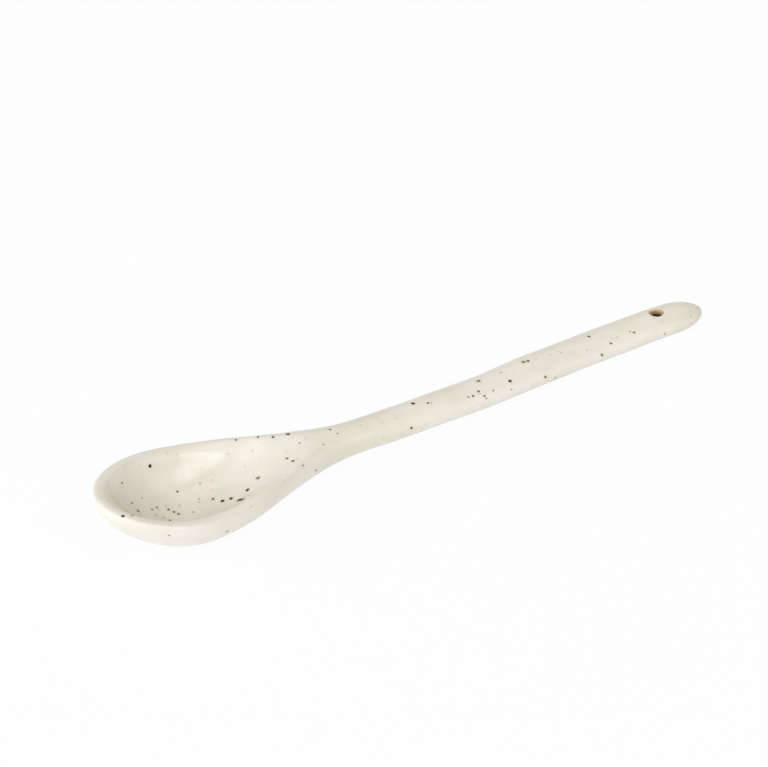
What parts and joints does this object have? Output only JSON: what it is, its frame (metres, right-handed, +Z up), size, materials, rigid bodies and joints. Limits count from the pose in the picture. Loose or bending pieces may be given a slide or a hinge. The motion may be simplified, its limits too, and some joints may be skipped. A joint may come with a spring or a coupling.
{
  "type": "teaspoon",
  "caption": "Stoneware teaspoon with an oval bowl, a rounded rim and a slim oval handle with a hanging hole, under a cream speckled glaze.",
  "frame": {"origin": "middle of the bounding box in plan, on the table that the spoon lies on", "axes": "+X from the bowl's tip to the handle's end, +Y across the spoon, +Z up out of the hollow"},
  "size_m": [0.145, 0.0274, 0.0136],
  "materials": {
    "stoneware": "bare fired clay, matt and slightly gritty, with dark iron specks",
    "glaze": "cream semi-gloss glaze with scattered brown-black iron specks and soft tan halos"
  },
  "bodies": {
    "root": {"stoneware_body": "stoneware", "glaze_coat": "glaze"}
  },
  "joints": []
}
